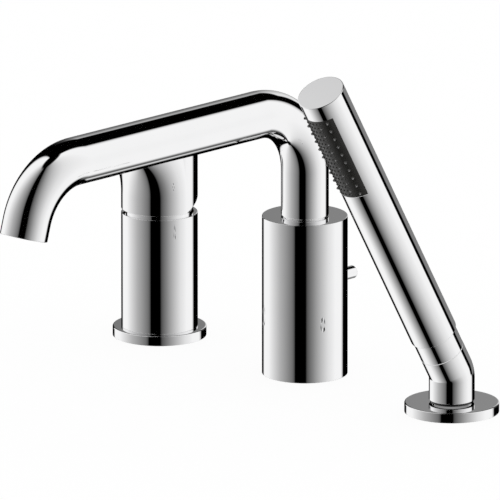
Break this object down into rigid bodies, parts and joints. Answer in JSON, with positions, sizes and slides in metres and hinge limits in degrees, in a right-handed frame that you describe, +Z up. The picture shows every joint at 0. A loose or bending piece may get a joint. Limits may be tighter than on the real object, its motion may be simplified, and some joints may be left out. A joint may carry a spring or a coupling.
{
  "type": "deck-mounted tub faucet",
  "caption": "Deck-mounted tub faucet: lever mixer, swivelling arched spout with a pull diverter, and a stick hand shower in a swivelling holder.",
  "frame": {"origin": "on the deck's top face, at the centre of the spout body's foot, on the spout's swivel axis", "axes": "+X along the row of stations, from the mixer to the hand shower; the spout and the lever point along -Y; +Z up from the deck"},
  "size_m": [0.322, 0.3081, 0.2989],
  "materials": {
    "chrome": "polished",
    "brass": "machined",
    "stainless_steel": "plain",
    "black_rubber": "matte",
    "grey_silicone": "matte",
    "ceramic": "lapped",
    "white_plastic": "moulded",
    "grey_plastic": "moulded",
    "black_plastic": "moulded"
  },
  "bodies": {
    "deck_set": {"deck_gaskets": "black_rubber", "deck_washers": "stainless_steel", "deck_nuts": "brass", "mixer_escutcheon": "chrome", "mixer_escutcheon_seal": "black_rubber", "mixer_column_sleeve": "chrome", "mixer_valve_core": "brass", "cartridge_housing": "white_plastic", "cartridge_base_seals": "black_rubber", "cartridge_fixed_disc": "ceramic", "cartridge_nut": "brass", "mixer_dome": "chrome", "spout_body_sleeve": "chrome", "spout_valve_core": "brass", "spout_base_seal": "black_rubber", "spout_lock_ring": "stainless_steel", "diverter_bush": "brass", "diverter_spring": "stainless_steel", "shower_escutcheon": "chrome", "shower_escutcheon_seal": "black_rubber", "shower_shank": "brass", "holder_slide_ring": "black_plastic", "holder_snap_ring": "stainless_steel"},
    "cartridge_turn_unit": {"cartridge_carrier": "white_plastic", "cartridge_pivot_pin": "stainless_steel"},
    "lever": {"lever_handle": "chrome", "lever_stem": "brass", "lever_set_screw": "stainless_steel", "lever_screw_plug": "chrome"},
    "moving_disc": {"cartridge_moving_disc": "ceramic"},
    "spout": {"spout_tube": "chrome", "spout_swivel_journal": "brass", "spout_o_rings": "black_rubber", "spout_slide_ring": "chrome", "aerator_housing": "chrome", "aerator_seal": "black_rubber", "aerator_grid": "grey_plastic"},
    "diverter": {"diverter_knob": "chrome", "diverter_rod": "stainless_steel", "diverter_valve_disc": "black_rubber"},
    "shower_holder": {"shower_elbow": "chrome", "holder_liner": "black_plastic"},
    "hand_shower": {"handset_hose_sleeve": "chrome", "handset_inlet_seal": "black_rubber", "handset_inlet": "brass", "handset_check_valve": "white_plastic", "handset_body": "chrome", "handset_water_duct": "white_plastic", "spray_plate": "grey_plastic", "spray_nozzle_mat": "grey_silicone"}
  },
  "joints": [
    {"name": "mixer_turn", "type": "hinge", "parent": "deck_set", "child": "cartridge_turn_unit", "pos_m": [-0.131, 0, 0], "axis": [0, 0, 1], "range_deg": [-45, 45]},
    {"name": "handle_lift", "type": "hinge", "parent": "cartridge_turn_unit", "child": "lever", "pos_m": [-0.131, 0, 0.082], "axis": [-1, 0, 0], "range_deg": [0, 25]},
    {"name": "disc_slide", "type": "slide", "parent": "cartridge_turn_unit", "child": "moving_disc", "axis": [0, -1, 0], "range_m": [0, 0.00225]},
    {"name": "spout_swivel", "type": "hinge", "parent": "deck_set", "child": "spout", "pos_m": [0, 0, 0], "axis": [0, 0, 1], "range_deg": [-30, 30]},
    {"name": "diverter_pull", "type": "slide", "parent": "deck_set", "child": "diverter", "axis": [0, 1, 0], "range_m": [0, 0.0065], "stiffness_N_per_m": 300, "springref_m": -0.003, "deforming": ["diverter_spring"]},
    {"name": "holder_swivel", "type": "hinge", "parent": "deck_set", "child": "shower_holder", "pos_m": [0.131, 0, 0], "axis": [0, 0, 1], "range_deg": [-25, 25]},
    {"name": "handset_lift", "type": "slide", "parent": "shower_holder", "child": "hand_shower", "axis": [0, -0.5, 0.866], "range_m": [0, 0.06]}
  ],
  "couplings": [
    {"joint": "disc_slide", "follows": "handle_lift", "m_per_rad": 0.005085}
  ]
}
